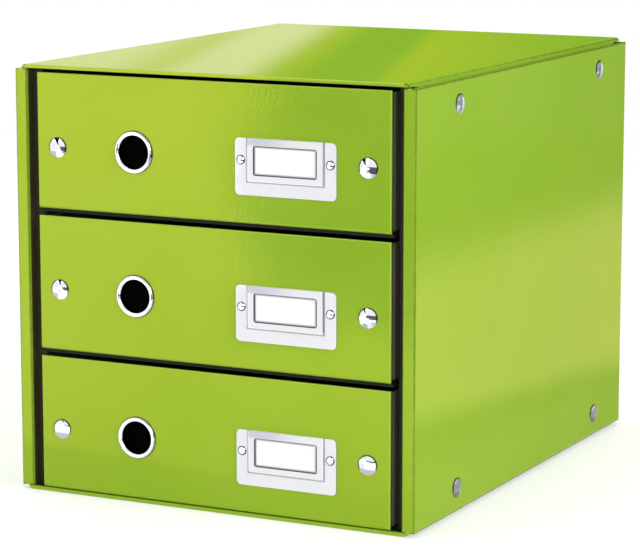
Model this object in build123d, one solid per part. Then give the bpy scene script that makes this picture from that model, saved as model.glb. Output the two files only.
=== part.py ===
from build123d import *
import os

# Desktop drawer unit: a casing of folded laminated board with push-in drawers.
# Millimetres, +Z up. The drawers open towards -Y and the origin lies under the middle of the whole.

# Casing
case_width = 286.0
case_height = 282.0
case_depth = 358.0
case_board = 2.4  # top, bottom and back boards
side_board = 2.0  # folded side panels
lining_board = 2.0  # black inner walls and shelves
fold_radius = 0.4  # inside radius of every fold
case_fold = 2.6  # outer radii of the folds: top, bottom and back boards
side_fold = 1.2  # side panels, grooved inside so that they fold sharply
lining_fold = 2.4  # inner walls
seat = 0.2  # room left where one board slips past another
edge_round = 0.6  # on the board edges that face the front or the rear

side_strip = 8.8  # width of a side panel's front and rear strips
side_lip = 8.5  # depth of the lips turned in from those strips
side_head_gap = 0.6  # side panels stop this far under the top board
tuck_flange = 34.0  # height of the side flanges of the top and bottom boards
tuck_setback = 12.0  # those flanges start behind the lips
back_flange = 11.0  # flanges of the back board, along the top and the bottom
wall_zone = 15.8  # from the casing's side face to the drawer bay
wall_flange_setback = 14.0  # upper and lower flanges of an inner wall, from the casing's ends

# Shelves, tabbed into the inner walls
shelf_setback = 3.0
shelf_tab = 40.0
shelf_tab_pitch = 110.0
shelf_tab_count = 3
shelf_tab_reach = 2.0
slot_clearance = 0.15

# Drawers
drawer_count = 3
drawer_board = 1.8
drawer_fold = 1.8  # outer radius of a drawer's folds
insert_board = 1.2
slide_gap = 0.4  # under a drawer
head_gap = 2.3  # above a drawer's front
front_side_gap = 0.9
wall_inset = 0.5  # drawer walls, inside the edges of the front
wall_drop = 1.5  # drawer walls, below the top of the front
front_tab = 30.0
bottom_flap = 25.0
drawer_rear_gap = 11.0
insert_clearance = 0.4
insert_front_gap = 1.6  # from the tabs to the insert

# Press studs: a cap riveted to a socket, and a post that snaps into it
snap_gap = 3.0  # between the two boards that a stud joins
cap_radius = 6.5
cap_height = 1.3
cap_rim = 0.4
shank_radius = 1.8
hole_clearance = 0.2
clinch_radius = 2.6
clinch_height = 0.3
socket_radius = 5.0
socket_height = 2.4
socket_floor = 0.6
socket_mouth = 3.4
post_radius = 2.9
post_shoulder_radius = 4.4
post_shoulder = 0.5
post_foot_radius = 4.6
post_foot = 0.6

side_stud_edge = 15.2  # from a side panel's top and bottom edges
side_stud_front = 64.5  # from the front
side_stud_rear = 53.0  # from the rear

# Hardware on a drawer front, all on one line
hardware_drop = 48.0  # from the top of the front
front_stud_edge = 15.1  # from the front's side edges
ring_gap = 36.2  # from the left stud's cap to the finger ring
ring_bore = 10.5  # radii
ring_outer = 14.0
ring_wall = 0.6
ring_flare = 1.5
ring_flare_height = 0.5
washer_outer = 13.4
washer_sheet = 0.8
washer_clearance = 0.1

label_gap = 15.2  # from the label plate to the right stud's cap
label_width = 70.6
label_height = 36.0
label_rise = 13.8  # plate's top above the hardware line
label_corner = 3.0
label_sheet = 0.5
pocket_side = 8.35  # from the plate's side edges to the pocket
pocket_foot = 8.5  # from the plate's lower edge to the pocket
pocket_room = 0.9
pocket_corner = 2.0
pocket_round = 0.8
window_side = 4.65  # from the pocket's side edges to the window
window_drop = 4.6  # from the plate's top
window_foot = 4.2  # from the pocket's lower edge
window_corner = 1.6
card_sheet = 0.4
card_clearance = 0.4
rivet_edge = 4.05  # from the plate's side edges
rivet_radius = 3.0
rivet_height = 1.1
rivet_rim = 0.2
rivet_shank = 1.4
rivet_clearance = 0.1
rivet_tail_radius = 2.4
rivet_tail = 0.7

# Worked out from the sizes above
ring_proud = (ring_outer - ring_bore) / 2
label_proud = label_sheet + max(pocket_room, rivet_height)
front_proud = max(ring_proud, label_proud, cap_height)
front_y = (front_proud - case_depth) / 2
rear_y = front_y + case_depth
case_half = case_width / 2
bay_half = case_half - wall_zone
lip_x = case_half - side_strip
tuck_x = case_half - side_board - snap_gap
side_low = case_board + seat
side_high = case_height - case_board - side_head_gap
ceiling = case_height - case_board
bay_height = (ceiling - case_board - (drawer_count - 1) * lining_board) / drawer_count
bay_pitch = bay_height + lining_board
front_half = bay_half - front_side_gap
front_height = bay_height - slide_gap - head_gap
drawer_half = front_half - wall_inset
drawer_rear = rear_y - case_board - drawer_rear_gap
tab_y = front_y + drawer_board + snap_gap
side_stud_y = (front_y + side_stud_front, rear_y - side_stud_rear)
side_stud_z = (side_low + side_stud_edge, side_high - side_stud_edge)
front_stud_x = front_half - front_stud_edge
ring_x = cap_radius + ring_gap + ring_outer - front_stud_x
label_x = front_stud_x - cap_radius - label_gap - label_width / 2
pocket_width = label_width - 2 * pocket_side
pocket_height = label_height - pocket_foot
window_width = pocket_width - 2 * window_side
window_height = pocket_height - window_drop - window_foot
rivet_x = label_width / 2 - rivet_edge
stud_hole = shank_radius + hole_clearance
ring_hole = ring_bore + ring_wall + hole_clearance
rivet_hole = rivet_shank + rivet_clearance


def block(low, high):
    """Box between two opposite corners."""
    size = Vector(*high) - Vector(*low)
    return Pos(*low) * Box(size.X, size.Y, size.Z, align=(Align.MIN, Align.MIN, Align.MIN))


def left_of(start, end):
    """Unit vector to the left of the way from start to end."""
    way = (Vector(*end) - Vector(*start)).normalized()
    return Vector(-way.Y, way.X)


def folded(points, thickness, bend):
    """Section of a board folded at right angles, on the left of the points along its outer skin,
    with an outer radius at every fold."""
    turns = [left_of(start, end) for start, end in zip(points, points[1:])]
    shifts = [turns[0]] + [first + second for first, second in zip(turns, turns[1:])] + [turns[-1]]
    inner = [Vector(*point) + shift * thickness for point, shift in zip(points, shifts)]
    outer_skin = FilletPolyline(*points, radius=bend)
    inner_skin = FilletPolyline(*inner, radius=fold_radius)
    ends = [Line(points[0], inner[0]), Line(points[-1], inner[-1])]
    return make_face(outer_skin.edges() + inner_skin.edges() + [end.edge() for end in ends])


def turned(*lines):
    """Solid of revolution about Z from an outline of radius and height."""
    edges = [edge for line in lines for edge in line.edges()]
    return revolve(Plane.XZ * make_face(edges), Axis.Z)


def other_side(shape):
    return mirror(shape, about=Plane.YZ)


def facing_front(x, z):
    """Frame on a drawer front, with Z out of it."""
    return Plane(origin=(x, front_y, z), x_dir=(1, 0, 0), z_dir=(0, -1, 0))


def facing_right(y, z):
    """Frame on the right side panel, with Z out of it."""
    return Plane(origin=(case_half, y, z), x_dir=(0, 1, 0), z_dir=(1, 0, 0))


def drilled(board, frames, radius, depth):
    """Board with a round hole at each frame, from its face inwards."""
    for frame in frames:
        board -= frame * Pos(0, 0, -depth / 2) * Cylinder(radius, depth)
    return board


# Press studs, with the outer face of the outer board at height 0


def stud_cap(outer_board):
    floor = -outer_board - socket_floor
    dome = TangentArc((0, cap_height), (cap_radius, cap_rim), tangent=(1, 0))
    rest = Polyline(
        (cap_radius, cap_rim),
        (cap_radius, 0),
        (shank_radius, 0),
        (shank_radius, floor),
        (clinch_radius, floor),
        (clinch_radius, floor - clinch_height),
        (0, floor - clinch_height),
        (0, cap_height),
    )
    return turned(dome, rest)


def stud_socket(outer_board):
    floor = -outer_board - socket_floor
    mouth = -outer_board - socket_height
    return turned(
        Polyline(
            (stud_hole, -outer_board),
            (socket_radius, -outer_board),
            (socket_radius, mouth),
            (socket_mouth, mouth),
            (socket_mouth, floor),
            (stud_hole, floor),
            close=True,
        )
    )


def stud_post(outer_board, inner_board):
    tip = -outer_board - socket_floor - clinch_height - seat
    face = -outer_board - snap_gap
    foot = face - inner_board
    return turned(
        Polyline(
            (0, tip),
            (post_radius, tip),
            (post_radius, face + post_shoulder),
            (post_shoulder_radius, face + post_shoulder),
            (post_shoulder_radius, face),
            (shank_radius, face),
            (shank_radius, foot),
            (post_foot_radius, foot),
            (post_foot_radius, foot - post_foot),
            (0, foot - post_foot),
            close=True,
        )
    )


# Casing


def flanged_board():
    """The top board. Upside down, it is the bottom board."""
    low = case_height - tuck_flange
    outline = [(tuck_x, low), (tuck_x, case_height), (-tuck_x, case_height), (-tuck_x, low)]
    board = extrude(Plane.XZ.offset(-rear_y) * folded(outline, case_board, case_fold), case_depth)
    for start, end in ((front_y, front_y + tuck_setback), (rear_y - tuck_setback, rear_y)):
        board -= block((-case_half, start, low), (case_half, end, ceiling))
    ends = board.faces().filter_by(Axis.Y).group_by(Axis.Z)[-1]
    return fillet([end.edges().group_by(Axis.Z)[-1] for end in ends], edge_round)


def tuck_holes(board, stud_z):
    """Stud holes through both side flanges of a top or bottom board."""
    for y in side_stud_y:
        board -= Pos(0, y, stud_z) * Rot(0, 90, 0) * Cylinder(stud_hole, case_width)
    return board


def side_panel():
    outline = [
        (lip_x, front_y + side_lip),
        (lip_x, front_y),
        (case_half, front_y),
        (case_half, rear_y),
        (lip_x, rear_y),
        (lip_x, rear_y - side_lip),
    ]
    panel = extrude(Pos(0, 0, side_low) * folded(outline, side_board, side_fold), side_high - side_low)
    return drilled(panel, side_stud_frames(), stud_hole, side_board)


def side_stud_frames():
    return [facing_right(y, z) for y in side_stud_y for z in side_stud_z]


def shelf_levels():
    """Upper faces of the shelves, from the lowest."""
    return [case_board + bay_pitch * level for level in range(1, drawer_count)]


def shelf_tab_places():
    middle = (shelf_tab_count - 1) / 2
    return [(front_y + rear_y) / 2 + (place - middle) * shelf_tab_pitch for place in range(shelf_tab_count)]


def inner_wall():
    """Black wall beside the drawers: a web with flanges turned outwards on its four edges."""
    flange_x = tuck_x - case_board - fold_radius - seat
    wall_front = front_y + side_lip + seat
    wall_rear = rear_y - side_lip - seat
    upright = [(flange_x, wall_rear), (bay_half, wall_rear), (bay_half, wall_front), (flange_x, wall_front)]
    wall = extrude(Pos(0, 0, case_board) * folded(upright, lining_board, lining_fold), ceiling - case_board)
    level = [(flange_x, ceiling), (bay_half, ceiling), (bay_half, case_board), (flange_x, case_board)]
    flange_run = case_depth - 2 * wall_flange_setback
    section = Plane.XZ.offset(wall_flange_setback - rear_y) * folded(level, lining_board, lining_fold)
    wall += extrude(section, flange_run)
    half_slot = shelf_tab / 2 + slot_clearance
    for top in shelf_levels():
        for y in shelf_tab_places():
            low = (bay_half - seat, y - half_slot, top - lining_board - slot_clearance)
            high = (bay_half + lining_board + seat, y + half_slot, top + slot_clearance)
            wall -= block(low, high)
    return wall


def shelf(top):
    half = bay_half - seat
    low = top - lining_board
    board = block((-half, front_y + shelf_setback, low), (half, rear_y - case_board - seat, top))
    reach = bay_half + lining_board + shelf_tab_reach
    for y in shelf_tab_places():
        board += block((-reach, y - shelf_tab / 2, low), (reach, y + shelf_tab / 2, top))
    return board


def back_panel():
    """Back board between the side panels' lips, with flanges under the top and over the bottom board."""
    half = lip_x - seat
    flange_y = rear_y - back_flange
    outline = [(flange_y, case_board), (rear_y, case_board), (rear_y, ceiling), (flange_y, ceiling)]
    flange_half = bay_half - seat
    board = extrude(Plane.YZ.offset(-flange_half) * folded(outline, case_board, case_fold), 2 * flange_half)
    return board + block(
        (-half, rear_y - case_board, case_board + case_fold),
        (half, rear_y, ceiling - case_fold),
    )


def casing():
    panel = side_panel()
    wall = inner_wall()
    board = flanged_board()
    upside_down = mirror(board, about=Plane.XY.offset(case_height / 2))
    frames = side_stud_frames()
    caps = Compound([frame * stud_cap(side_board) for frame in frames])
    sockets = Compound([frame * stud_socket(side_board) for frame in frames])
    posts = Compound([frame * stud_post(side_board, case_board) for frame in frames])
    lower, upper = shelf_levels()
    return {
        "top_panel": tuck_holes(board, side_stud_z[1]),
        "bottom_panel": tuck_holes(upside_down, side_stud_z[0]),
        "back_panel": back_panel(),
        "right_side_panel": panel,
        "left_side_panel": other_side(panel),
        "right_inner_wall": wall,
        "left_inner_wall": other_side(wall),
        "upper_shelf": shelf(upper),
        "lower_shelf": shelf(lower),
        "right_stud_caps": caps,
        "left_stud_caps": other_side(caps),
        "right_stud_sockets": sockets,
        "left_stud_sockets": other_side(sockets),
        "right_stud_posts": posts,
        "left_stud_posts": other_side(posts),
    }


# Drawers


def drawer_front_board(base, studs, ring, rivets):
    """Front of a drawer, folded at the bottom and running back as its base."""
    outline = [(front_y, base + front_height), (front_y, base), (drawer_rear, base)]
    section = Plane.YZ.offset(-front_half) * folded(outline, drawer_board, drawer_fold)
    board = extrude(section, 2 * front_half)
    board = fillet(board.faces().sort_by(Axis.Y)[0].edges().sort_by(Axis.Z)[1:], edge_round)
    board = drilled(board, studs, stud_hole, drawer_board)
    board = drilled(board, [ring], ring_hole, drawer_board)
    return drilled(board, rivets, rivet_hole, drawer_board)


def drawer_walls(base, studs):
    """Sides and back of a drawer in one folded board, with tabs behind the front and flaps on the base."""
    floor = base + drawer_board
    outline = [
        (drawer_half - front_tab, tab_y),
        (drawer_half, tab_y),
        (drawer_half, drawer_rear),
        (-drawer_half, drawer_rear),
        (-drawer_half, tab_y),
        (front_tab - drawer_half, tab_y),
    ]
    height = front_height - drawer_board - wall_drop
    walls = extrude(Pos(0, 0, floor) * folded(outline, drawer_board, drawer_fold), height)
    mid_wall = drawer_board / 2
    flap_half = drawer_half - mid_wall
    flap_front = tab_y + mid_wall
    flap_rear = drawer_rear - mid_wall
    flap = bottom_flap - mid_wall
    flap_top = floor + drawer_board
    open_half = flap_half - flap
    flaps = block((-flap_half, flap_front, floor), (flap_half, flap_rear, flap_top))
    flaps -= block((-open_half, flap_front, floor), (open_half, flap_rear - flap, flap_top))
    return drilled(walls + flaps, studs, stud_hole, drawer_board + snap_gap + drawer_board)


def drawer_insert(base):
    """Stiff board laid on the flaps, inside the walls."""
    half = drawer_half - drawer_board - insert_clearance
    start = tab_y + drawer_board + insert_front_gap
    end = drawer_rear - drawer_board - insert_clearance
    floor = base + 2 * drawer_board
    return block((-half, start, floor), (half, end, floor + insert_board))


def finger_ring():
    """Rolled eyelet: a half-round rim outside, a barrel through the front and a flare inside."""
    flare_top = -drawer_board - washer_sheet
    end = flare_top - ring_flare_height
    barrel = ring_bore + ring_wall
    middle = (ring_bore + ring_outer) / 2
    rim = ThreePointArc((ring_bore, 0), (middle, ring_proud), (ring_outer, 0))
    rest = Polyline(
        (ring_outer, 0),
        (barrel, 0),
        (barrel, flare_top),
        (barrel + ring_flare, flare_top),
        (barrel + ring_flare, end),
        (ring_bore, end),
        (ring_bore, 0),
    )
    return turned(rim, rest)


def ring_washer():
    bore = ring_bore + ring_wall + washer_clearance
    disc = Cylinder(washer_outer, washer_sheet) - Cylinder(bore, washer_sheet)
    return Pos(0, 0, -drawer_board - washer_sheet / 2) * disc


def pocket_sketch(margin):
    """Outline of the label pocket, drawn in by a margin, square at its open top."""
    width = pocket_width - 2 * margin
    height = pocket_height - margin
    outline = Pos(0, label_rise - height / 2) * Rectangle(width, height)
    return fillet(outline.vertices().group_by(Axis.Y)[0], pocket_corner - margin)


def label_holder():
    """Pressed plate with a pocket raised over the card, open at the top, and a window in the pocket."""
    plate_middle = label_rise - label_height / 2
    plate = Pos(0, plate_middle) * RectangleRounded(label_width, label_height, label_corner)
    pocket = extrude(pocket_sketch(0), pocket_room + label_sheet)
    rim = pocket.faces().sort_by(Axis.Z)[-1].edges().sort_by(Axis.Y)[:-1]
    pocket = fillet(rim, pocket_round)
    window_middle = label_rise - window_drop - window_height / 2
    window = Pos(0, window_middle) * RectangleRounded(window_width, window_height, window_corner)
    holder = extrude(plate, label_sheet) + pocket - extrude(pocket_sketch(label_sheet), pocket_room)
    holder -= extrude(window, pocket_room + label_sheet)
    for side in (-1, 1):
        holder -= Pos(side * rivet_x, 0) * Cylinder(rivet_hole, 2 * label_sheet)
    return holder


def label_card():
    return extrude(pocket_sketch(label_sheet + card_clearance), card_sheet)


def label_rivet():
    top = label_sheet + rivet_height
    dome = TangentArc((0, top), (rivet_radius, label_sheet + rivet_rim), tangent=(1, 0))
    rest = Polyline(
        (rivet_radius, label_sheet + rivet_rim),
        (rivet_radius, label_sheet),
        (rivet_shank, label_sheet),
        (rivet_shank, -drawer_board),
        (rivet_tail_radius, -drawer_board),
        (rivet_tail_radius, -drawer_board - rivet_tail),
        (0, -drawer_board - rivet_tail),
        (0, top),
    )
    return turned(dome, rest)


def drawer(floor):
    """The pieces of the drawer whose bay has this floor, by the end of their names."""
    base = floor + slide_gap
    line = base + front_height - hardware_drop
    studs = [facing_front(side * front_stud_x, line) for side in (-1, 1)]
    ring = facing_front(ring_x, line)
    label = facing_front(label_x, line)
    rivets = [label * Pos(side * rivet_x, 0, 0) for side in (-1, 1)]
    return {
        "front_board": drawer_front_board(base, studs, ring, rivets),
        "walls": drawer_walls(base, studs),
        "base_insert": drawer_insert(base),
        "stud_caps": Compound([stud * stud_cap(drawer_board) for stud in studs]),
        "stud_sockets": Compound([stud * stud_socket(drawer_board) for stud in studs]),
        "stud_posts": Compound([stud * stud_post(drawer_board, drawer_board) for stud in studs]),
        "finger_ring": ring * finger_ring(),
        "ring_washer": ring * ring_washer(),
        "label_holder": label * label_holder(),
        "label_card": label * label_card(),
        "label_rivets": Compound([rivet * label_rivet() for rivet in rivets]),
    }


def build():
    """Every node of the unit. Drawer 1 is the top one."""
    nodes = casing()
    for number in range(1, drawer_count + 1):
        floor = case_board + bay_pitch * (drawer_count - number)
        for name, shape in drawer(floor).items():
            nodes[f"drawer_{number}_{name}"] = shape
    return nodes


os.makedirs("parts", exist_ok=True)
for node, shape in build().items():
    export_step(shape, f"parts/{node}.step")
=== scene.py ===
# %% [markdown]
# # A desktop drawer unit of folded laminated board
# The real object is an office cabinet for A4 paper: a casing of board covered with glossy lime
# film, three drawers that push in, press studs that hold the folded flaps together, a chromed
# finger ring and a pressed label holder on each drawer.
# Its shapes come finished from CAD, so this lesson is about finishes and light. The imported model
# is loaded first and kept as it is.

# %% Load the imported model
import math

import bpy
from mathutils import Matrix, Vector


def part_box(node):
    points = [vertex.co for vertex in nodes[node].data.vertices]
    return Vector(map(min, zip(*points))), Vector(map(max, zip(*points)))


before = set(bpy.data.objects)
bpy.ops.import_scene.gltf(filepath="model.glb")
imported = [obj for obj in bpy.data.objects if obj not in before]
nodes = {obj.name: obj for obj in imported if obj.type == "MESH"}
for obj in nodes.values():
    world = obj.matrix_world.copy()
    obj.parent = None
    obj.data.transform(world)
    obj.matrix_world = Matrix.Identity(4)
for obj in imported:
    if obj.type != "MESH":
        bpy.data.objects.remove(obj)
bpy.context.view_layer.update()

# %% [markdown]
# ## Camera
# A product picture is taken from a little above and to the right, with a long lens, so that the
# uprights stay nearly parallel. The position could be tried by eye. Here it was solved from the
# corners of the casing and the drawers, and only its three numbers and two angles are kept.

# %% Camera
PICTURE_WIDTH = 640
FOCAL_PIXELS = 2774
CAMERA_PLACE = Vector((0.8376, -1.6898, 0.4554))
CAMERA_YAW = 26.68
CAMERA_PITCH = 9.93

camera_data = bpy.data.cameras.new("camera")
camera_data.sensor_fit = "HORIZONTAL"
camera_data.sensor_width = 36
camera_data.lens = FOCAL_PIXELS / PICTURE_WIDTH * camera_data.sensor_width
camera = bpy.data.objects.new("camera", camera_data)
camera.location = CAMERA_PLACE
camera.rotation_euler = (math.radians(90 - CAMERA_PITCH), 0, math.radians(CAMERA_YAW))
bpy.context.scene.collection.objects.link(camera)
bpy.context.scene.camera = camera
bpy.context.scene.view_settings.view_transform = "Standard"
print("camera lens", round(camera_data.lens, 1), "mm")

# %% [markdown]
# ## Small helpers for shader nodes
# Every finish below is a tree of nodes. Written out in full, making, setting and joining nodes
# takes three lines each time, so one helper makes a node, sets its values and joins its inputs.
# The others are short names for the few kinds of node that come up again and again.

# %% Node helpers
X, Y, Z = 0, 1, 2


def add(tree, kind, inputs=None, **settings):
    """New node with its settings; an input is a value or another node's output."""
    node = tree.nodes.new(kind)
    for name, value in settings.items():
        setattr(node, name, value)
    for name, value in (inputs or {}).items():
        if isinstance(value, bpy.types.NodeSocket):
            tree.links.new(value, node.inputs[name])
        else:
            node.inputs[name].default_value = value
    return node


def maths(tree, operation, first, second=0.0, clamp=False):
    """Output of a Math node on two values or sockets."""
    node = add(tree, "ShaderNodeMath", {0: first, 1: second}, operation=operation, use_clamp=clamp)
    return node.outputs[0]


def vector_maths(tree, operation, first, second=(0, 0, 0)):
    """Output of a Vector Math node on two vectors or sockets."""
    node = add(tree, "ShaderNodeVectorMath", {0: first, 1: second}, operation=operation)
    return node.outputs[0]


def measured(tree, point, direction):
    """How far a point lies along a direction."""
    node = add(tree, "ShaderNodeVectorMath", {0: point, 1: direction}, operation="DOT_PRODUCT")
    return node.outputs["Value"]


def smooth_step(tree, value, low, high):
    """0 up to low, 1 from high, eased between."""
    inputs = {"Value": value, "From Min": low, "From Max": high}
    return add(tree, "ShaderNodeMapRange", inputs, interpolation_type="SMOOTHSTEP").outputs["Result"]


def mixed(tree, factor, first, second):
    """Output of a colour Mix node."""
    node = add(tree, "ShaderNodeMix", data_type="RGBA")
    for socket, value in zip((node.inputs[0], node.inputs[6], node.inputs[7]), (factor, first, second)):
        if isinstance(value, bpy.types.NodeSocket):
            tree.links.new(value, socket)
        else:
            socket.default_value = value
    return node.outputs[2]


print("helpers ready")

# %% [markdown]
# ## The pebbled film
# The film on the board isn't mirror smooth: where a reflection ends, it breaks up into fine
# pebbles about one and a half millimetres wide. They could be modelled, but they are only hundredths
# of a millimetre high, so a bump is enough. Rounded cells from a smooth Voronoi pattern make
# the pebbles, and a wider noise makes them uneven. The height is a group, because the green
# and the black film are embossed alike.

# %% Group: pebbled film
def node_group(name, inputs, outputs):
    """Empty node group with named sockets, with its input and output nodes."""
    tree = bpy.data.node_groups.new(name, "ShaderNodeTree")
    for socket, kind, value in inputs:
        made = tree.interface.new_socket(socket, in_out="INPUT", socket_type=kind)
        made.default_value = value
    for socket, kind in outputs:
        tree.interface.new_socket(socket, in_out="OUTPUT", socket_type=kind)
    return tree, tree.nodes.new("NodeGroupInput").outputs, tree.nodes.new("NodeGroupOutput").inputs


pebbled_film, ins, outs = node_group(
    "pebbled_film",
    [("Pebble Size", "NodeSocketFloat", 0.0015), ("Unevenness", "NodeSocketFloat", 0.35)],
    [("Height", "NodeSocketFloat"), ("Crest", "NodeSocketFloat")],
)
place = add(pebbled_film, "ShaderNodeTexCoord").outputs["Object"]
scale = maths(pebbled_film, "DIVIDE", 1.0, ins["Pebble Size"])
cells = add(
    pebbled_film,
    "ShaderNodeTexVoronoi",
    {"Vector": place, "Scale": scale, "Smoothness": 0.7, "Randomness": 0.95},
    feature="SMOOTH_F1",
)
rough = add(
    pebbled_film,
    "ShaderNodeTexNoise",
    {"Vector": place, "Scale": maths(pebbled_film, "MULTIPLY", scale, 0.6), "Detail": 3.0},
)
dome = maths(pebbled_film, "SUBTRACT", 1.0, cells.outputs["Distance"], clamp=True)
uneven = maths(pebbled_film, "MULTIPLY", rough.outputs["Fac"], ins["Unevenness"])
height = maths(pebbled_film, "ADD", dome, uneven)
pebbled_film.links.new(height, outs["Height"])
pebbled_film.links.new(smooth_step(pebbled_film, height, 0.6, 1.1), outs["Crest"])
print("group", pebbled_film.name)

# %% [markdown]
# ## Handling
# No film stays evenly glossy. Wide soft patches differ a little in tone, and the places that
# hands touch are a little duller. Both change slowly over the surface, so two noises of
# different sizes are enough, and the group hands out one mask for each.

# %% Group: handled film
handled_film, ins, outs = node_group(
    "handled_film",
    [("Patch Size", "NodeSocketFloat", 0.12)],
    [("Tone", "NodeSocketFloat"), ("Smudge", "NodeSocketFloat")],
)
place = add(handled_film, "ShaderNodeTexCoord").outputs["Object"]
scale = maths(handled_film, "DIVIDE", 1.0, ins["Patch Size"])
wide = add(handled_film, "ShaderNodeTexNoise", {"Vector": place, "Scale": scale, "Detail": 2.0})
fine = add(
    handled_film,
    "ShaderNodeTexNoise",
    {"Vector": place, "Scale": maths(handled_film, "MULTIPLY", scale, 5.0), "Detail": 6.0, "Roughness": 0.6},
)
handled_film.links.new(smooth_step(handled_film, wide.outputs["Fac"], 0.3, 0.7), outs["Tone"])
handled_film.links.new(smooth_step(handled_film, fine.outputs["Fac"], 0.5, 0.75), outs["Smudge"])
print("group", handled_film.name)

# %% [markdown]
# ## Where a folded board is lined, and where its edges are
# The film is green outside only. The inside of each folded board is lined with dark paper, and
# the outer edges are painted a little paler, as a painted highlight. Separate meshes for the
# lining would have to float on the board. Instead this group measures how deep a point lies
# inside the board's own box: deeper than the board is thick from every outer face means lining,
# and near two faces at once means edge. The faces that count as outer are given as ones in two
# vectors, for the low and the high faces along X, Y and Z. A noise makes the edge narrower in
# some places than in others.

# %% Group: folded board
folded_board, ins, outs = node_group(
    "folded_board",
    [
        ("Low", "NodeSocketVector", (0, 0, 0)),
        ("High", "NodeSocketVector", (1, 1, 1)),
        ("Outer Low", "NodeSocketVector", (0, 0, 0)),
        ("Outer High", "NodeSocketVector", (0, 0, 0)),
        ("Board", "NodeSocketFloat", 0.002),
        ("Edge Width", "NodeSocketFloat", 0.001),
    ],
    [("Lining", "NodeSocketFloat"), ("Edge", "NodeSocketFloat")],
)
place = add(folded_board, "ShaderNodeTexCoord").outputs["Object"]
from_low = vector_maths(folded_board, "SUBTRACT", place, ins["Low"])
from_high = vector_maths(folded_board, "SUBTRACT", ins["High"], place)
inner_low = vector_maths(folded_board, "SUBTRACT", (1, 1, 1), ins["Outer Low"])
inner_high = vector_maths(folded_board, "SUBTRACT", (1, 1, 1), ins["Outer High"])
deep = vector_maths(
    folded_board,
    "MINIMUM",
    vector_maths(folded_board, "ADD", from_low, inner_low),
    vector_maths(folded_board, "ADD", from_high, inner_high),
)
parts = add(folded_board, "ShaderNodeSeparateXYZ", {0: deep}).outputs
depth = maths(folded_board, "MINIMUM", maths(folded_board, "MINIMUM", parts[X], parts[Y]), parts[Z])
almost_through = maths(folded_board, "MULTIPLY", ins["Board"], 0.94)
lining = maths(folded_board, "GREATER_THAN", depth, almost_through)
folded_board.links.new(lining, outs["Lining"])
near = vector_maths(folded_board, "MINIMUM", from_low, from_high)
parts = add(folded_board, "ShaderNodeSeparateXYZ", {0: near}).outputs
lower = maths(folded_board, "MINIMUM", parts[X], parts[Y])
upper = maths(folded_board, "MAXIMUM", parts[X], parts[Y])
second = maths(folded_board, "MAXIMUM", lower, maths(folded_board, "MINIMUM", upper, parts[Z]))
wear = add(folded_board, "ShaderNodeTexNoise", {"Vector": place, "Scale": 180.0, "Detail": 3.0})
reach = maths(folded_board, "ADD", wear.outputs["Fac"], 0.5)
reach = maths(folded_board, "MULTIPLY", ins["Edge Width"], reach)
edge = maths(folded_board, "SUBTRACT", 1.0, smooth_step(folded_board, second, 0.0, reach))
folded_board.links.new(edge, outs["Edge"])
print("group", folded_board.name)

# %% [markdown]
# ## From groups to materials
# Each finish is one Principled shader with the groups above in front of it. A colour is easiest
# to give as a picture shows it, from 0 to 255, but the shader counts in linear light, so one
# helper turns the one into the other. Another hands a finished material to CAD nodes by name.

# %% Material helpers
def place_group(tree, group, **values):
    """Node that uses a group, with its values by socket name, and _ for a space."""
    node = add(tree, "ShaderNodeGroup", node_tree=group)
    for name, value in values.items():
        node.inputs[name.replace("_", " ")].default_value = value
    return node.outputs


def new_material(name):
    """Material with a lone Principled shader."""
    material = bpy.data.materials.new(name)
    material.use_nodes = True
    tree = material.node_tree
    tree.nodes.clear()
    shader = tree.nodes.new("ShaderNodeBsdfPrincipled")
    output = tree.nodes.new("ShaderNodeOutputMaterial")
    tree.links.new(shader.outputs["BSDF"], output.inputs["Surface"])
    return material, tree, shader


def srgb(red, green, blue):
    """Linear colour from the 0 to 255 values that a picture shows."""
    parts = [value / 255 for value in (red, green, blue)]
    linear = [part / 12.92 if part <= 0.04045 else ((part + 0.055) / 1.055) ** 2.4 for part in parts]
    return (*linear, 1.0)


def dress(material, *names):
    """Give these CAD nodes one material."""
    for name in names:
        nodes[name].data.materials.clear()
        nodes[name].data.materials.append(material)


print("material helpers ready")

# %% [markdown]
# ## Lime film
# Each green board gets its own material from one function, because each has its own box and its
# own outer faces. The gloss is a plain clear film over a strong colour. Seen head on it glints
# yellow green rather than white, so the shader's specular tint is set to that, and at a flat
# angle it still turns white, as in the pale sheen on the top of the casing. Along the folds at
# the sides of the top and side panels, a painted shade draws thin dark lines. The top is the
# smoothest board, so its sheen keeps a clean edge.

# %% Material: lime film
LIME = srgb(139, 177, 45)
LIME_PALE = srgb(184, 208, 92)
LIME_FOLD_SHADE = srgb(74, 104, 20)
LINING_BLACK = srgb(30, 31, 28)
LINING_OLIVE = srgb(72, 68, 38)
FILM_TINT = (1.0, 0.80, 0.04, 1.0)
PEBBLE_HEIGHT = 0.00005
PAPER_ROUGHNESS = 0.55
FOLD_SHADE_REACH = 0.003
CASE_BOARD = 0.0024
SIDE_BOARD = 0.0020
DRAWER_BOARD = 0.0018


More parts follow.
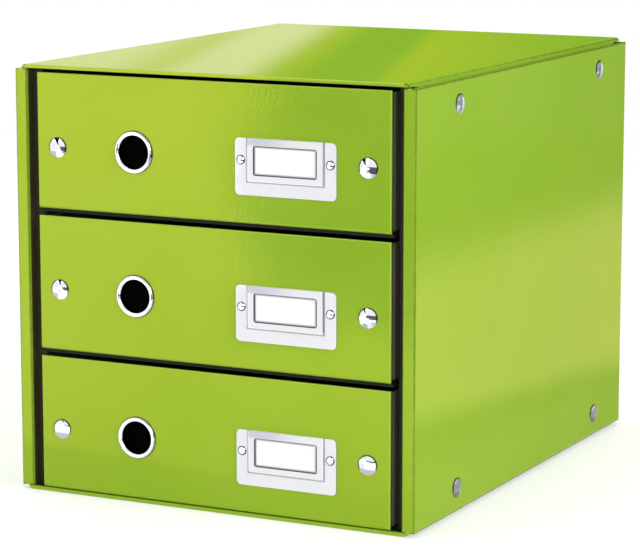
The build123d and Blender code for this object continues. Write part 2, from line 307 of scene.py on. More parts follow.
def lime_board(
    node, board, outer_low, outer_high,
    gloss=0.045, relief=0.52, edge=0.0009, fold_shade=False, lining=LINING_BLACK,
):
    """Green film on the outer faces of a board, paper on the others."""
    low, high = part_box(node)
    material, tree, shader = new_material("lime_film_" + node)
    where = place_group(
        tree, folded_board, Low=low, High=high, Outer_Low=outer_low, Outer_High=outer_high,
        Board=board, Edge_Width=edge,
    )
    handled = place_group(tree, handled_film, Patch_Size=0.12)
    pebbles = place_group(tree, pebbled_film, Pebble_Size=0.0015, Unevenness=0.2)
    shade = mixed(tree, maths(tree, "MULTIPLY", handled["Tone"], 0.10), LIME, LIME_PALE)
    # Painted highlight: the outer edges are mixed towards pale lime.
    shade = mixed(tree, maths(tree, "MULTIPLY", where["Edge"], 0.45), shade, LIME_PALE)
    # Painted shade: a dark line along the edges on the folded sides, across X.
    if fold_shade:
        place = add(tree, "ShaderNodeTexCoord").outputs["Object"]
        across = measured(tree, vector_maths(tree, "SUBTRACT", place, (low + high) / 2), (1, 0, 0))
        start = (high.x - low.x) / 2 - FOLD_SHADE_REACH
        crease = maths(tree, "GREATER_THAN", maths(tree, "ABSOLUTE", across), start)
        shade = mixed(tree, maths(tree, "MULTIPLY", where["Edge"], crease), shade, LIME_FOLD_SHADE)
    shade = mixed(tree, where["Lining"], shade, lining)
    dull = maths(tree, "MULTIPLY_ADD", handled["Smudge"], 0.45 * gloss)
    dull.node.inputs[2].default_value = gloss
    dull = maths(tree, "MAXIMUM", dull, maths(tree, "MULTIPLY", where["Lining"], PAPER_ROUGHNESS))
    grain = {"Height": pebbles["Height"], "Strength": relief, "Distance": PEBBLE_HEIGHT}
    bump = add(tree, "ShaderNodeBump", grain)
    tree.links.new(shade, shader.inputs["Base Color"])
    tree.links.new(dull, shader.inputs["Roughness"])
    tree.links.new(bump.outputs["Normal"], shader.inputs["Normal"])
    shader.inputs["Specular Tint"].default_value = FILM_TINT
    dress(material, node)


lime_board("top_panel", CASE_BOARD, (1, 0, 0), (1, 0, 1), gloss=0.035, relief=0.03, edge=0.0022, fold_shade=True)
lime_board("bottom_panel", CASE_BOARD, (1, 1, 1), (1, 0, 0))
lime_board("back_panel", CASE_BOARD, (0, 0, 1), (0, 1, 1))
side_finish = {"edge": 0.0016, "fold_shade": True, "lining": LINING_OLIVE}
lime_board("right_side_panel", SIDE_BOARD, (0, 1, 0), (1, 1, 0), **side_finish)
lime_board("left_side_panel", SIDE_BOARD, (1, 1, 0), (0, 1, 0), **side_finish)
DRAWERS = ("drawer_1", "drawer_2", "drawer_3")
for drawer in DRAWERS:
    lime_board(drawer + "_front_board", DRAWER_BOARD, (0, 1, 0), (0, 0, 0))
print("lime film on", 5 + len(DRAWERS), "boards")

# %% [markdown]
# ## Black film
# The walls beside the drawers, the shelves and the drawer bodies are the same board in black.
# Black film shows its grain as a change of gloss more than of colour, so the crests of the
# pebbles are polished and the hollows are left dull. A dusting of paler specks keeps it from
# looking like a hole in the picture. The paper on the drawers is painted greyer than the film on
# the walls, as painted light for the shaded gaps around them, and the shelves are painted
# darkest, because their edges are fully lit. A painted highlight runs along the crease of the
# front flap. So one function makes all three.

# %% Material: black film
CREASE_HIGHLIGHT = srgb(132, 126, 110)
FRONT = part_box("drawer_1_front_board")[0].y
FLAP_CREASE = FRONT + 0.0068


def black_film(name, plain, worn, crease=None):
    """Black film, with a painted pale line at this depth if one is given."""
    material, tree, shader = new_material(name)
    handled = place_group(tree, handled_film, Patch_Size=0.08)
    pebbles = place_group(tree, pebbled_film, Pebble_Size=0.0013, Unevenness=0.5)
    shade = mixed(tree, maths(tree, "MULTIPLY", handled["Smudge"], 0.35), plain, worn)
    if crease is not None:
        # Painted highlight: a pale line along the crease of the front flap.
        place = add(tree, "ShaderNodeTexCoord").outputs["Object"]
        off = maths(tree, "SUBTRACT", measured(tree, place, (0, 1, 0)), crease)
        line = smooth_step(tree, maths(tree, "ABSOLUTE", off), 0.0016, 0.0004)
        shade = mixed(tree, line, shade, CREASE_HIGHLIGHT)
    polish = add(tree, "ShaderNodeMapRange", {"Value": pebbles["Crest"], "To Min": 0.58, "To Max": 0.46})
    bump = add(tree, "ShaderNodeBump", {"Height": pebbles["Height"], "Strength": 0.4, "Distance": 0.00006})
    tree.links.new(shade, shader.inputs["Base Color"])
    tree.links.new(polish.outputs["Result"], shader.inputs["Roughness"])
    tree.links.new(bump.outputs["Normal"], shader.inputs["Normal"])
    shader.inputs["Specular IOR Level"].default_value = 0.1
    return material


# Three copies of one black film, painted lighter or darker as painted light: the drawers lighter for the
# shaded gaps, the shelves darkest for their lit edges.
wall_black = black_film("wall_black", srgb(52, 54, 44), srgb(68, 70, 58))
shelf_black = black_film("shelf_black", srgb(30, 32, 26), srgb(42, 44, 36))
drawer_black = black_film("drawer_black", srgb(86, 88, 72), srgb(98, 100, 85), crease=FLAP_CREASE)
dress(wall_black, "right_inner_wall", "left_inner_wall")
dress(shelf_black, "upper_shelf", "lower_shelf")
for drawer in DRAWERS:
    dress(drawer_black, drawer + "_walls", drawer + "_base_insert")
print("black film ready")

# %% [markdown]
# ## Polishing marks
# Studs, rings and rivets are turned and polished before plating, which leaves faint rings about
# their own axis. A node often holds two or four studs, placed evenly about its middle, so the
# group folds space about that middle with absolute values, and one centre serves them all.

# %% Group: polishing marks
polishing_marks, ins, outs = node_group(
    "polishing_marks",
    [
        ("Middle", "NodeSocketVector", (0, 0, 0)),
        ("Half Spacing", "NodeSocketVector", (0, 0, 0)),
        ("Face", "NodeSocketVector", (1, 0, 1)),
        ("Ring Width", "NodeSocketFloat", 0.0004),
    ],
    [("Rings", "NodeSocketFloat"), ("Haze", "NodeSocketFloat"), ("Radius", "NodeSocketFloat")],
)
place = add(polishing_marks, "ShaderNodeTexCoord").outputs["Object"]
local = vector_maths(polishing_marks, "SUBTRACT", place, ins["Middle"])
local = vector_maths(polishing_marks, "ABSOLUTE", local)
local = vector_maths(polishing_marks, "SUBTRACT", local, ins["Half Spacing"])
flat = vector_maths(polishing_marks, "MULTIPLY", local, ins["Face"])
radius = add(polishing_marks, "ShaderNodeVectorMath", {0: flat}, operation="LENGTH").outputs["Value"]
turns = maths(polishing_marks, "DIVIDE", radius, ins["Ring Width"])
rings = add(
    polishing_marks, "ShaderNodeTexNoise", {"W": turns, "Scale": 1.0, "Detail": 4.0}, noise_dimensions="1D"
)
haze = add(polishing_marks, "ShaderNodeTexNoise", {"Vector": place, "Scale": 420.0, "Detail": 4.0})
polishing_marks.links.new(rings.outputs["Fac"], outs["Rings"])
polishing_marks.links.new(radius, outs["Radius"])
polishing_marks.links.new(smooth_step(polishing_marks, haze.outputs["Fac"], 0.45, 0.75), outs["Haze"])
print("group", polishing_marks.name)

# %% [markdown]
# ## Chrome
# The caps, rings and rivets are bright chrome. Chrome has hardly a colour of its own: what it
# looks like is what stands around it, so the studio below matters more than the shader. The
# finish adds the polishing rings to the normal and a trace of haze to the gloss, and paints
# shade into the colour: a dark line at the rim, where the surface turns in towards the board, a
# darker band on the outside of the ring, and a violet shade on the parts that face the table.
# The caps on the casing's sides are hazier, and their colour is a painted bluish tint, strongest
# low down, to offset the warm card that they mirror.

# %% Material: chrome
CHROME = (0.88, 0.88, 0.91, 1.0)
CHROME_COOL = (0.78, 0.85, 1.0, 1.0)
CHROME_LOW = (0.66, 0.76, 1.0, 1.0)
CHROME_HAZE = (0.75, 0.75, 0.79, 1.0)
CHROME_RIM_SHADE = (0.05, 0.05, 0.06, 1.0)
CHROME_SHADE = (0.50, 0.49, 0.60, 1.0)
RADII = {"_stud_caps": 0.0065, "_finger_ring": 0.014, "_label_rivets": 0.003}


def facing(tree, axis, low, high):
    """0 where the surface turns away from this axis, 1 where it faces along it."""
    normal = add(tree, "ShaderNodeNewGeometry").outputs["Normal"]
    along = add(tree, "ShaderNodeSeparateXYZ", {0: normal}).outputs[axis]
    return smooth_step(tree, maths(tree, "ABSOLUTE", along), low, high)


def chrome_finish(node, face, dull=0.05, bright=CHROME, low_bright=None, metal=1.0):
    """Chrome with polishing rings; face has a 0 for the axis that it looks along."""
    low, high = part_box(node)
    middle = (low + high) / 2
    radius = next(size for ending, size in RADII.items() if node.endswith(ending))
    half = Vector([max(extent / 2 - radius, 0.0) * part for extent, part in zip(high - low, face)])
    material, tree, shader = new_material("chrome_" + node)
    marks = place_group(tree, polishing_marks, Middle=middle, Half_Spacing=half, Face=face)
    gloss = add(tree, "ShaderNodeMapRange", {"Value": marks["Haze"], "To Min": dull, "To Max": dull + 0.07})
    tone = bright
    # Painted tint: bluer low down, to offset the warm card that the caps mirror.
    if low_bright is not None:
        place = add(tree, "ShaderNodeTexCoord").outputs["Object"]
        raised = smooth_step(tree, measured(tree, place, (0, 0, 1)), 0.12, 0.16)
        tone = mixed(tree, raised, low_bright, bright)
    tone = mixed(tree, maths(tree, "MULTIPLY", marks["Haze"], 0.2), tone, CHROME_HAZE)
    # Painted shade: dark where the surface turns away from its face.
    tone = mixed(tree, facing(tree, face.index(0), 0.35, 0.75), CHROME_RIM_SHADE, tone)
    # Painted shade: a dark ring at the rim.
    rim_shade = smooth_step(tree, marks["Radius"], radius - 0.0010, radius - 0.0004)
    tone = mixed(tree, rim_shade, tone, CHROME_RIM_SHADE)
    if node.endswith("_finger_ring"):
        # Painted shade on the outside of the finger ring.
        outer = smooth_step(tree, marks["Radius"], radius - 0.0016, radius - 0.0008)
        tone = mixed(tree, maths(tree, "MULTIPLY", outer, 0.5), tone, CHROME_SHADE)
    if node.endswith("_stud_caps"):
        # Painted shade: violet on the parts that face the table.
        normal = add(tree, "ShaderNodeNewGeometry").outputs["Normal"]
        lower = smooth_step(tree, measured(tree, normal, (0, 0, -1)), 0.09, 0.12)
        tone = mixed(tree, lower, tone, CHROME_SHADE)
    bump = add(tree, "ShaderNodeBump", {"Height": marks["Rings"], "Strength": 0.04, "Distance": 0.00002})
    tree.links.new(tone, shader.inputs["Base Color"])
    tree.links.new(gloss.outputs["Result"], shader.inputs["Roughness"])
    tree.links.new(bump.outputs["Normal"], shader.inputs["Normal"])
    shader.inputs["Metallic"].default_value = metal
    dress(material, node)


ON_FRONT = (1, 0, 1)
ON_SIDE = (0, 1, 1)
SIDES = ("right", "left")
# The side caps' colours are a painted bluish tint against the warm card that they mirror.
side_caps = {"dull": 0.2, "bright": CHROME_COOL, "low_bright": CHROME_LOW, "metal": 0.85}
for side in SIDES:
    chrome_finish(side + "_stud_caps", ON_SIDE, **side_caps)
for drawer in DRAWERS:
    for ending in RADII:
        chrome_finish(drawer + ending, ON_FRONT)
print("chrome ready")

# %% [markdown]
# ## Plated steel of the stud sockets and posts
# The halves of the press studs behind the boards are plain zinc plated steel, with a mottled
# crystal bloom. They show only when a drawer is open. They could share the chrome, but zinc is
# duller and greyer, so they get a finish of their own. A Voronoi pattern gives the bloom its
# flat crystals.

# %% Material: plated steel
plated_steel, tree, shader = new_material("plated_steel")
place = add(tree, "ShaderNodeTexCoord").outputs["Object"]
bloom = add(tree, "ShaderNodeTexVoronoi", {"Vector": place, "Scale": 900.0})
handled = place_group(tree, handled_film, Patch_Size=0.01)
crystals = add(tree, "ShaderNodeSeparateColor", {"Color": bloom.outputs["Color"]}).outputs["Red"]
shade = mixed(tree, crystals, (0.50, 0.51, 0.53, 1.0), (0.62, 0.63, 0.66, 1.0))
gloss = add(tree, "ShaderNodeMapRange", {"Value": handled["Smudge"], "To Min": 0.28, "To Max": 0.45})
tree.links.new(shade, shader.inputs["Base Color"])
tree.links.new(gloss.outputs["Result"], shader.inputs["Roughness"])
shader.inputs["Metallic"].default_value = 1.0
for side in SIDES:
    dress(plated_steel, side + "_stud_sockets", side + "_stud_posts")
for drawer in DRAWERS:
    dress(plated_steel, drawer + "_stud_sockets", drawer + "_stud_posts", drawer + "_ring_washer")
print("plated steel ready")

# %% [markdown]
# ## Lines around the label
# The pocket of the label holder is pressed up out of the plate, which leaves a crease around it,
# and the card lies in shadow along the edge of the window. Both are thin lines along a rectangle.
# They could be cut in CAD, but they are only shades, so a group marks them: it measures how far
# a point lies outside a rectangle on the front and marks a narrow strip at that line.

# %% Group: rectangle line
rectangle_line, ins, outs = node_group(
    "rectangle_line",
    [
        ("Middle", "NodeSocketVector", (0, 0, 0)),
        ("Half Size", "NodeSocketVector", (1, 1, 1)),
        ("Width", "NodeSocketFloat", 0.0004),
    ],
    [("Line", "NodeSocketFloat"), ("Left", "NodeSocketFloat")],
)
place = add(rectangle_line, "ShaderNodeTexCoord").outputs["Object"]
local = vector_maths(rectangle_line, "SUBTRACT", place, ins["Middle"])
outside = vector_maths(
    rectangle_line, "SUBTRACT", vector_maths(rectangle_line, "ABSOLUTE", local), ins["Half Size"]
)
parts = add(rectangle_line, "ShaderNodeSeparateXYZ", {0: outside}).outputs
away = maths(rectangle_line, "ABSOLUTE", maths(rectangle_line, "MAXIMUM", parts["X"], parts["Z"]))
line = maths(rectangle_line, "SUBTRACT", 1.0, smooth_step(rectangle_line, away, 0.0, ins["Width"]))
rectangle_line.links.new(line, outs["Line"])
sideways = add(rectangle_line, "ShaderNodeSeparateXYZ", {0: local}).outputs["X"]
half = add(rectangle_line, "ShaderNodeSeparateXYZ", {0: ins["Half Size"]}).outputs["X"]
left = maths(rectangle_line, "LESS_THAN", sideways, maths(rectangle_line, "MULTIPLY", half, -0.98))
rectangle_line.links.new(left, outs["Left"])
print("group", rectangle_line.name)

# %% [markdown]
# ## Label holder
# The holder is pressed from thin nickel plated sheet with a fine satin grain along its length.
# The grain is a noise squeezed across and drawn out along X, used twice: faintly as tone and
# as a bump. Where the sheet turns away from the front, at its sheared edges and on the walls of
# the pocket, it is darker, partly for the bare grey steel of the cut edges and partly as
# painted shade. A painted shade line follows the crease around the pocket, darkest on the left,
# away from the light, and the strip over the window gets a painted shade that grows towards the
# left. A pure mirror would turn black wherever it faces something dark, and this plate is
# milky white, so it is only about half metal.

# %% Material: satin nickel
POCKET_HALF = 0.02695
POCKET_HEIGHT = 0.0275
POCKET_INSET = 0.0085
WINDOW_HALF = 0.0223
WINDOW_TOP = 0.0046
WINDOW_HEIGHT = 0.0187
NICKEL = (0.83, 0.83, 0.85, 1.0)
NICKEL_PALE = (0.88, 0.88, 0.895, 1.0)
NICKEL_SHADE = (0.56, 0.56, 0.64, 1.0)
SHEARED_AND_SHADE = (0.26, 0.26, 0.31, 1.0)


def satin_nickel(node):
    """Combed nickel with a painted shade line around the pocket."""
    low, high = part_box(node)
    material, tree, shader = new_material("satin_" + node)
    place = add(tree, "ShaderNodeTexCoord").outputs["Object"]
    combed = vector_maths(tree, "MULTIPLY", place, (60, 4000, 4000))
    grain = add(tree, "ShaderNodeTexNoise", {"Vector": combed, "Scale": 1.0, "Detail": 4.0}).outputs["Fac"]
    handled = place_group(tree, handled_film, Patch_Size=0.02)
    crease = place_group(
        tree,
        rectangle_line,
        Middle=((low.x + high.x) / 2, 0, high.z),
        Half_Size=(POCKET_HALF, 1, POCKET_HEIGHT),
        Width=0.0010,
    )
    shade = mixed(tree, grain, NICKEL, NICKEL_PALE)
    parts = add(tree, "ShaderNodeSeparateXYZ", {0: place}).outputs
    # Painted shade on the strip over the window, growing towards the left.
    window_head = high.z - WINDOW_TOP
    head = smooth_step(tree, parts["Z"], window_head - 0.001, window_head + 0.001)
    inside = maths(tree, "GREATER_THAN", parts["X"], low.x + POCKET_INSET)
    dim = smooth_step(tree, parts["X"], high.x - 0.02, low.x + 0.015)
    dim = maths(tree, "MULTIPLY", maths(tree, "MULTIPLY", head, dim), maths(tree, "MULTIPLY", inside, 0.8))
    shade = mixed(tree, dim, shade, NICKEL_SHADE)
    # Painted shade: a dark line along the crease around the pocket, darkest on the left.
    depth = maths(tree, "MULTIPLY_ADD", crease["Left"], 0.2)
    depth.node.inputs[2].default_value = 0.75
    shade = mixed(tree, maths(tree, "MULTIPLY", crease["Line"], depth), shade, SHEARED_AND_SHADE)
    # Darker where the sheet turns away from the front: partly bare cut steel, partly painted shade.
    shade = mixed(tree, facing(tree, Y, 0.15, 0.75), SHEARED_AND_SHADE, shade)
    gloss = add(tree, "ShaderNodeMapRange", {"Value": handled["Smudge"], "To Min": 0.03, "To Max": 0.05})
    bump = add(tree, "ShaderNodeBump", {"Height": grain, "Strength": 0.01, "Distance": 0.00002})
    tree.links.new(shade, shader.inputs["Base Color"])
    tree.links.new(gloss.outputs["Result"], shader.inputs["Roughness"])
    tree.links.new(bump.outputs["Normal"], shader.inputs["Normal"])
    shader.inputs["Metallic"].default_value = 0.55
    dress(material, node)


for drawer in DRAWERS:
    satin_nickel(drawer + "_label_holder")
print("satin nickel ready")

# %% [markdown]
# ## Label card
# The card is blank white paper. Paper is never quite even: its fibres make it a little cloudy,
# and short pale and dark flecks lie in every direction. Two noises, one of them stretched, give
# the cloud and the flecks, and the flecks also raise the surface by a hair. A thin painted
# shadow follows the edge of the window, where the card goes in under the sheet.

# %% Material: card
PAPER = (0.95, 0.95, 0.95, 1.0)
PAPER_WHITE = (1.0, 1.0, 0.99, 1.0)
PAPER_FLECK = (0.90, 0.90, 0.89, 1.0)
PAPER_SHADOW = (0.05, 0.05, 0.06, 1.0)
SHADOW_SHIFT = 0.00025


def card_paper(drawer):
    """White paper with a painted shadow line along the edge of the holder's window."""
    low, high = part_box(drawer + "_label_holder")
    material, tree, shader = new_material("card_paper_" + drawer)
    place = add(tree, "ShaderNodeTexCoord").outputs["Object"]
    cloud = add(tree, "ShaderNodeTexNoise", {"Vector": place, "Scale": 350.0, "Detail": 5.0}).outputs["Fac"]
    drawn = vector_maths(tree, "MULTIPLY", place, (900, 3000, 5000))
    fleck = add(tree, "ShaderNodeTexNoise", {"Vector": drawn, "Scale": 1.0, "Detail": 2.0}).outputs["Fac"]
    shadow = place_group(
        tree,
        rectangle_line,
        Middle=((low.x + high.x) / 2 - SHADOW_SHIFT, 0, high.z - WINDOW_TOP - WINDOW_HEIGHT / 2),
        Half_Size=(WINDOW_HALF - SHADOW_SHIFT, 1, WINDOW_HEIGHT / 2),
        Width=0.0020,
    )
    shade = mixed(tree, cloud, PAPER, PAPER_WHITE)
    shade = mixed(tree, smooth_step(tree, fleck, 0.62, 0.75), shade, PAPER_FLECK)
    # Painted shadow along the edge of the window.
    shade = mixed(tree, shadow["Line"], shade, PAPER_SHADOW)
    bump = add(tree, "ShaderNodeBump", {"Height": fleck, "Strength": 0.15, "Distance": 0.00003})
    tree.links.new(shade, shader.inputs["Base Color"])
    tree.links.new(bump.outputs["Normal"], shader.inputs["Normal"])
    shader.inputs["Roughness"].default_value = 0.75
    dress(material, drawer + "_label_card")


for drawer in DRAWERS:
    card_paper(drawer)
print("label cards ready")

# %% [markdown]
# ## Floor
# The unit stands on a plain white table. A floor that ended somewhere would draw a horizon
# across the picture, so it fades out to the white world around it. It glows a little for the
# camera and for reflections only, which keeps it white without throwing more light on the
# object, and its own diffuse surface still takes the object's shadow.

# %% Floor
FLOOR_SIZE = 3.2
floor_mesh = bpy.data.meshes.new("floor")
half = FLOOR_SIZE / 2
corners = [(-half, -half, 0), (half, -half, 0), (half, half, 0), (-half, half, 0)]
floor_mesh.from_pydata(corners, [], [(0, 1, 2, 3)])
floor = bpy.data.objects.new("floor", floor_mesh)
floor.location.z = -0.0002
bpy.context.scene.collection.objects.link(floor)


def seen_directly(tree):
    """1 for what the camera sees, also in reflections, and 0 for light that falls on things."""
    seen = add(tree, "ShaderNodeLightPath").outputs
    direct = maths(tree, "MAXIMUM", seen["Is Camera Ray"], seen["Is Glossy Ray"])
    return maths(tree, "MAXIMUM", direct, seen["Is Transmission Ray"])


floor_white, tree, shader = new_material("floor_white")
shader.inputs["Base Color"].default_value = (0.62, 0.62, 0.62, 1.0)
shader.inputs["Roughness"].default_value = 0.8
glow = add(tree, "ShaderNodeEmission", {"Strength": maths(tree, "MULTIPLY", seen_directly(tree), 0.42)})
lit = add(tree, "ShaderNodeAddShader", {0: shader.outputs["BSDF"], 1: glow.outputs[0]})
place = add(tree, "ShaderNodeTexCoord").outputs["Object"]
away = add(tree, "ShaderNodeVectorMath", {0: place}, operation="LENGTH").outputs["Value"]
fade = smooth_step(tree, away, half * 0.55, half * 0.98)
clear = add(tree, "ShaderNodeBsdfTransparent")
shown = add(tree, "ShaderNodeMixShader", {0: fade, 1: lit.outputs[0], 2: clear.outputs[0]})
output = next(node for node in tree.nodes if node.type == "OUTPUT_MATERIAL")
tree.links.new(shown.outputs[0], output.inputs["Surface"])
floor_mesh.materials.append(floor_white)
print("floor", FLOOR_SIZE, "m across")

# %% [markdown]
# ## White background
# The picture has a plain white background. A world that shone as brightly as it looks would wash
# out every shadow, so it is white to the eye and only a dim, slightly cool fill as a light.

# %% World
world = bpy.data.worlds.new("studio")
bpy.context.scene.world = world
world.use_nodes = True
tree = world.node_tree
tree.nodes.clear()
ambient = add(tree, "ShaderNodeBackground", {"Color": (0.97, 0.98, 1.0, 1.0), "Strength": 0.30})
white = add(tree, "ShaderNodeBackground", {"Color": (1, 1, 1, 1), "Strength": 1.0})
shown = add(tree, "ShaderNodeMixShader", {0: seen_directly(tree), 1: ambient.outputs[0], 2: white.outputs[0]})
output = add(tree, "ShaderNodeOutputWorld")
tree.links.new(shown.outputs[0], output.inputs["Surface"])
print("world", world.name)

# %% [markdown]
# ## Lamps
# Six soft boxes light the unit: one overhead, one in front on the left, a small one beside the
# camera that reaches into the gaps around the drawers, and one each for the right side, the
# back and the left side. A single large box would be simpler, but it would leave the far sides
# in the dark. Their size makes the shadows soft, and their power is set so that a colour comes
# out about as it is written. None of them shows itself to the camera, and the last two don't
# show in reflections either, so the sheen of the top stays clear of them.

# %% Lamps
MIDDLE = Vector((0.0, 0.0, 0.14))


def soft_box(name, place, size, power):
    """Square area lamp, aimed at the middle of the unit."""
    lamp = bpy.data.lights.new(name, "AREA")
    lamp.shape = "SQUARE"
    lamp.size = size
    lamp.energy = power
    holder = bpy.data.objects.new(name, lamp)
    holder.location = place
    holder.rotation_euler = (MIDDLE - Vector(place)).to_track_quat("-Z", "Y").to_euler()
    holder.visible_camera = False
    bpy.context.scene.collection.objects.link(holder)
    return holder


soft_box("overhead_box", (-0.2, 0.1, 1.9), 1.6, 18)
soft_box("left_box", (-1.3, -1.9, 1.0), 1.1, 9.5)
soft_box("front_box", (0.7, -2.0, 0.6), 0.7, 13.5)
soft_box("right_box", (2.0, -0.5, 0.9), 1.1, 36)
soft_box("rear_box", (-0.6, 2.3, 0.5), 1.1, 15).visible_glossy = False
soft_box("far_box", (-2.1, 0.4, 0.4), 1.0, 10).visible_glossy = False
print("lamps", [lamp.name for lamp in bpy.data.lights])

# %% [markdown]
# ## Cards for the reflections
# A photographer shapes the sheen of a glossy product with white, tinted and dark cards around
# it. To know where a card has to lie, mirror the camera in the flat face that should show it:
# the card lies on the rays from that mirrored camera through the wanted patch of the face,
# wherever they meet the table or a height above the unit. The cards show only in reflections.
# The other way round, a point of a card leads back to the point of the face that shows it, so
# a card can be painted in the face's own measures.

# %% Card helpers
def glowing_card(name, corners, colour, level):
    """Flat card that shows only in reflections."""
    mesh = bpy.data.meshes.new(name)
    mesh.from_pydata(corners, [], [tuple(range(len(corners)))])
    card = bpy.data.objects.new(name, mesh)
    card.visible_camera = False
    card.visible_diffuse = False
    card.visible_shadow = False
    bpy.context.scene.collection.objects.link(card)
    material, tree, shader = new_material(name)
    shader.inputs["Base Color"].default_value = (0, 0, 0, 1)
    shader.inputs["Specular IOR Level"].default_value = 0.0
    shader.inputs["Emission Color"].default_value = (*colour, 1.0)
    shader.inputs["Emission Strength"].default_value = level
    mesh.materials.append(material)
    return tree, shader


def mirrored_camera(axis, place):
    """Where the camera appears to stand, seen in a flat face across this axis."""
    eye = CAMERA_PLACE.copy()
    eye[axis] = 2 * place - eye[axis]
    return eye


def mirrored_card(name, axis, patch, height, colour=(1, 1, 1), level=1.0):
    """Card at a height that the camera sees in a patch of the face across this axis."""
    eye = mirrored_camera(axis, patch[0][axis])
    corners = []
    for point in patch:
        ray = Vector(point) - eye
        corners.append(eye + ray * ((height - eye.z) / ray.z))
    return glowing_card(name, corners, colour, level)


def seen_in_face(tree, axis, place):
    """Point of the face across this axis where the camera sees a point of a card."""
    eye = mirrored_camera(axis, place)
    ray = vector_maths(tree, "SUBTRACT", add(tree, "ShaderNodeTexCoord").outputs["Object"], eye)
    along = add(tree, "ShaderNodeSeparateXYZ", {0: ray}).outputs[axis]
    reach = maths(tree, "DIVIDE", place - eye[axis], along)
    scaled = add(tree, "ShaderNodeVectorMath", {0: ray, "Scale": reach}, operation="SCALE").outputs[0]
    return vector_maths(tree, "ADD", scaled, eye)


print("card helpers ready")

# %% [markdown]
# ## Sheen on the drawer fronts
# The fronts shine yellow green from the left to a slanting edge, where the pebbles break it up,
# and stay deep green beyond. A bright card makes the one and a dark sheet the other, both with
# the outline that the sheen has on the fronts, given as points across and up. A small white
# card for each label holder lies over them, because the plates mirror plain white.

# %% Cards for the fronts
TABLE = 0.002
front_patch = [
    (-0.16, 0.033), (-0.012, 0.027), (0.16, 0.022), (0.16, 0.119),
    (0.066, 0.145), (0.026, 0.175), (0.026, 0.200), (0.050, 0.300), (-0.16, 0.300),
]
tree, shader = mirrored_card("front_card", Y, [(x, FRONT, z) for x, z in front_patch], TABLE, level=6.0)
fall = measured(tree, seen_in_face(tree, Y, FRONT), (-0.75, 0, 1.4))
tree.links.new(maths(tree, "ADD", fall, 0.31), shader.inputs["Emission Color"])
dark_patch = [
    (0.047, 0.300), (0.023, 0.200), (0.023, 0.174), (0.060, 0.143),
    (0.16, 0.119), (0.654, 0.1045), (0.654, 0.300),
]
mirrored_card("dark_sheet", Y, [(x, FRONT, z) for x, z in dark_patch], 1.5 * TABLE, (0.11, 0.11, 0.13))

LABEL_MARGIN = 0.0025
for drawer in DRAWERS:
    low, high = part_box(drawer + "_label_holder")
    left, right = low.x - LABEL_MARGIN, high.x + LABEL_MARGIN
    foot, head = low.z - LABEL_MARGIN, high.z + LABEL_MARGIN
    patch = [(left, FRONT, foot), (right, FRONT, foot), (right, FRONT, head), (left, FRONT, head)]
    mirrored_card(drawer + "_label_reflector", Y, patch, 2 * TABLE, (0.975, 0.97, 1.0), 1.0)
print("cards for the fronts and", len(DRAWERS), "label holders")

# %% [markdown]
# ## Sheen on the side
# A pale band crosses the right side between two sloping lines, and close to the table the side
# is a little lighter again. Cut cards would give hard edges, so one large card is painted with
# soft steps.

# %% Card for the side
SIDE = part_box("right_side_panel")[1].x
side_patch = [(SIDE, -0.3, 0.004), (SIDE, 0.3, 0.004), (SIDE, 0.3, 0.32), (SIDE, -0.3, 0.32)]
tree, shader = mirrored_card("side_card", X, side_patch, TABLE, level=1.1)
point = seen_in_face(tree, X, SIDE)
below = smooth_step(tree, measured(tree, point, (0, -0.016, -1)), -0.190, -0.146)
above = smooth_step(tree, measured(tree, point, (0, 0.082, 1)), 0.048, 0.072)
near = smooth_step(tree, measured(tree, point, (0, 0, 1)), 0.065, 0.02)
SIDE_DARK = (0.08, 0.07, 0.07, 1.0)
SIDE_WARM = (0.33, 0.28, 0.18, 1.0)
SIDE_BAND = (1.0, 0.68, 0.40, 1.0)
field = mixed(tree, near, SIDE_DARK, SIDE_WARM)
band = mixed(tree, maths(tree, "MULTIPLY", below, above), field, SIDE_BAND)
tree.links.new(band, shader.inputs["Emission Color"])
print("card for the side")

# %% [markdown]
# ## Sheen on the top
# The top is seen at a flat angle, so it mirrors strongly: slanting stripes, pale on the left and
# fresh or deep green to the right. One card high above it carries them in a colour ramp across
# the slant, with four tones for the whole ramp.

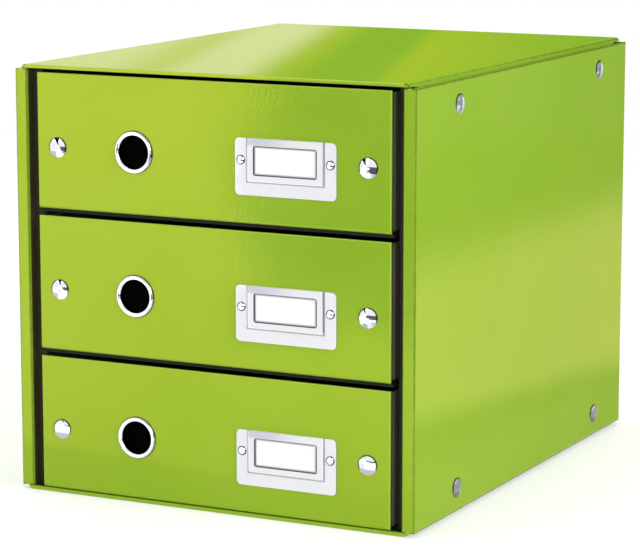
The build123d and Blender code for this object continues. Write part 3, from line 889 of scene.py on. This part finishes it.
# %% Card for the top
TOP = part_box("top_panel")[1].z
OVER = 0.9
SLANT = 0.345
SHEEN_HALF = 0.2
top_patch = [(-6, -1.4, TOP), (3, -1.4, TOP), (3, 9, TOP), (-6, 9, TOP)]
tree, shader = mirrored_card("top_card", Z, top_patch, OVER)
across = measured(tree, seen_in_face(tree, Z, TOP), (1, SLANT, 0))
band = add(tree, "ShaderNodeMapRange", {"Value": across, "From Min": -SHEEN_HALF, "From Max": SHEEN_HALF})
sheen = add(tree, "ShaderNodeValToRGB", {"Fac": band.outputs["Result"]})
PALE = (0.92, 0.91, 0.53)
DIM = (0.66, 0.72, 0.19)
FRESH = (0.44, 0.58, 0.03)
DEEP = (0.23, 0.46, 0.03)
stops = [
    (-0.140, PALE), (-0.104, DIM), (-0.079, PALE), (-0.043, PALE), (-0.018, FRESH),
    (0.010, DEEP), (0.048, DEEP), (0.062, FRESH), (0.180, DEEP),
]
elements = sheen.color_ramp.elements
while len(elements) < len(stops):
    elements.new(0.5)
for element, (at, colour) in zip(elements, stops):
    element.position = (at + SHEEN_HALF) / (2 * SHEEN_HALF)
    element.color = (*colour, 1.0)
tree.links.new(sheen.outputs["Color"], shader.inputs["Emission Color"])
print("card for the top with", len(stops), "stops")

# %% [markdown]
# ## Dark flags
# Without dark flags, the chrome and the folds would mirror the white studio all round and lose
# their shape. Each flag stands where a mirrored ray needs something dark: right of the unit, on
# the table there, on the left, and behind for the fold along the top. A dim screen low behind
# the unit does the same for the caps on the side.

# %% Flags
flags = {
    "right_flag": [(1.9, -1.1, 0), (1.3, 0.3, 0), (1.3, 0.3, 1.4), (1.9, -1.1, 1.4)],
    "right_sheet": [(x, y, TABLE) for x, y in ((0.45, -0.9), (1.3, -0.9), (1.3, -0.12), (0.45, -0.12))],
    "left_flag": [(-1.218, -1.032, 0.72), (-0.744, -1.466, 0.72), (-0.812, -1.643, 0.20)],
    "fold_flag": [(x, 1.5, z) for x, z in ((0.5, 0.32), (1.1, 0.32), (0.9, 0.9), (0.3, 1.15), (-0.2, 1.0))],
}
for name, corners in flags.items():
    glowing_card(name, corners, (0, 0, 0), 0.0)
screen = [(1.9, 0.4, 0), (0.7, 2.0, 0), (0.7, 2.0, 0.30), (1.9, 0.4, 0.30)]
glowing_card("rear_screen", screen, (0.13, 0.12, 0.15), 1.0)
print("flags", list(flags))
